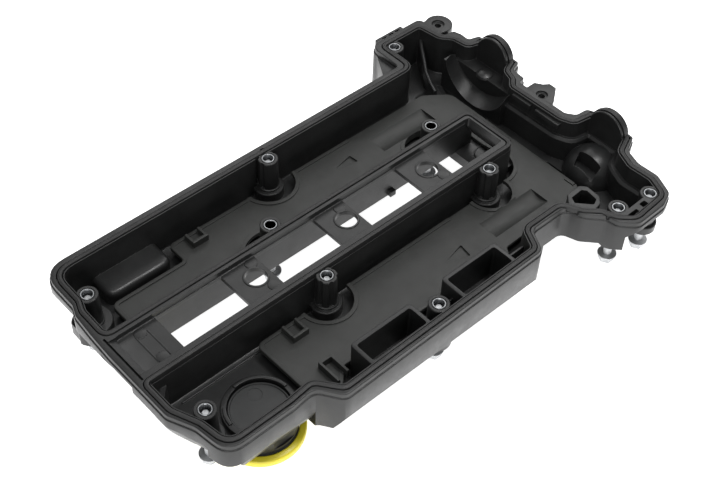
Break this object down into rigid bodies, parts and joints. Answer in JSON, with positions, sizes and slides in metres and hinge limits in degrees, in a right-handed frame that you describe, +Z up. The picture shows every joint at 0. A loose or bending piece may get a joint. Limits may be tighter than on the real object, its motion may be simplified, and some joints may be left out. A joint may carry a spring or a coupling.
{
  "type": "engine valve cover",
  "caption": "Moulded plastic engine valve cover, inside up, with rubber gasket, oil baffle, captive flange bolts in steel sleeves and a bayonet oil filler cap.",
  "frame": {"origin": "bottom centre of the bounding box, below the middle of the cover", "axes": "+Z up out of the open gasket side, +X along the engine towards the chain end, +Y across towards the chamber without the oil filler"},
  "size_m": [0.4032, 0.2662, 0.0748],
  "materials": {
    "cover_plastic": "glass-filled nylon, fine moulded grain",
    "gasket_rubber": "matt black moulded rubber",
    "baffle_plastic": "dark grey nylon, satin",
    "sleeve_steel": "turned steel",
    "bolt_steel": "zinc plated",
    "cap_plastic": "black nylon",
    "cap_yellow": "yellow moulded plastic, satin gloss",
    "seal_rubber": "black rubber"
  },
  "bodies": {
    "cover": {"cover_shell": "cover_plastic", "perimeter_gasket": "gasket_rubber", "baffle_plate": "baffle_plastic", "bolt_sleeve_a": "sleeve_steel", "bolt_sleeve_b": "sleeve_steel", "bolt_sleeve_c": "sleeve_steel", "bolt_sleeve_d": "sleeve_steel", "bolt_sleeve_e": "sleeve_steel", "bolt_sleeve_f": "sleeve_steel", "bolt_sleeve_g": "sleeve_steel", "bolt_sleeve_h": "sleeve_steel", "bolt_sleeve_j": "sleeve_steel", "bolt_sleeve_k": "sleeve_steel", "bolt_sleeve_l": "sleeve_steel"},
    "bolt_a": {"captive_bolt_a": "bolt_steel"},
    "bolt_b": {"captive_bolt_b": "bolt_steel"},
    "bolt_c": {"captive_bolt_c": "bolt_steel"},
    "bolt_d": {"captive_bolt_d": "bolt_steel"},
    "bolt_e": {"captive_bolt_e": "bolt_steel"},
    "bolt_f": {"captive_bolt_f": "bolt_steel"},
    "bolt_g": {"captive_bolt_g": "bolt_steel"},
    "bolt_h": {"captive_bolt_h": "bolt_steel"},
    "bolt_j": {"captive_bolt_j": "bolt_steel"},
    "bolt_k": {"captive_bolt_k": "bolt_steel"},
    "bolt_l": {"captive_bolt_l": "bolt_steel"},
    "cap_seal": {"filler_cap_seal": "seal_rubber"},
    "cap": {"filler_cap_body": "cap_plastic", "filler_cap_ring": "cap_yellow"}
  },
  "joints": [
    {"name": "bolt_a_slide", "type": "slide", "parent": "cover", "child": "bolt_a", "axis": [0, 0, 1], "range_m": [0, 0.0151]},
    {"name": "bolt_b_slide", "type": "slide", "parent": "cover", "child": "bolt_b", "axis": [0, 0, 1], "range_m": [0, 0.0151]},
    {"name": "bolt_c_slide", "type": "slide", "parent": "cover", "child": "bolt_c", "axis": [0, 0, 1], "range_m": [0, 0.0151]},
    {"name": "bolt_d_slide", "type": "slide", "parent": "cover", "child": "bolt_d", "axis": [0, 0, 1], "range_m": [0, 0.0151]},
    {"name": "bolt_e_slide", "type": "slide", "parent": "cover", "child": "bolt_e", "axis": [0, 0, 1], "range_m": [0, 0.0151]},
    {"name": "bolt_f_slide", "type": "slide", "parent": "cover", "child": "bolt_f", "axis": [0, 0, 1], "range_m": [0, 0.0151]},
    {"name": "bolt_g_slide", "type": "slide", "parent": "cover", "child": "bolt_g", "axis": [0, 0, 1], "range_m": [0, 0.0151]},
    {"name": "bolt_h_slide", "type": "slide", "parent": "cover", "child": "bolt_h", "axis": [0, 0, 1], "range_m": [0, 0.0151]},
    {"name": "bolt_j_slide", "type": "slide", "parent": "cover", "child": "bolt_j", "axis": [0, 0, 1], "range_m": [0, 0.0151]},
    {"name": "bolt_k_slide", "type": "slide", "parent": "cover", "child": "bolt_k", "axis": [0, 0, 1], "range_m": [0, 0.0151]},
    {"name": "bolt_l_slide", "type": "slide", "parent": "cover", "child": "bolt_l", "axis": [0, 0, 1], "range_m": [0, 0.0151]},
    {"name": "cap_lift", "type": "slide", "parent": "cover", "child": "cap_seal", "axis": [0, 0, -1], "range_m": [0, 0.03]},
    {"name": "cap_turn", "type": "hinge", "parent": "cap_seal", "child": "cap", "pos_m": [-0.1424, -0.06263, 0.014], "axis": [0, 0, 1], "range_deg": [0, 75]}
  ]
}
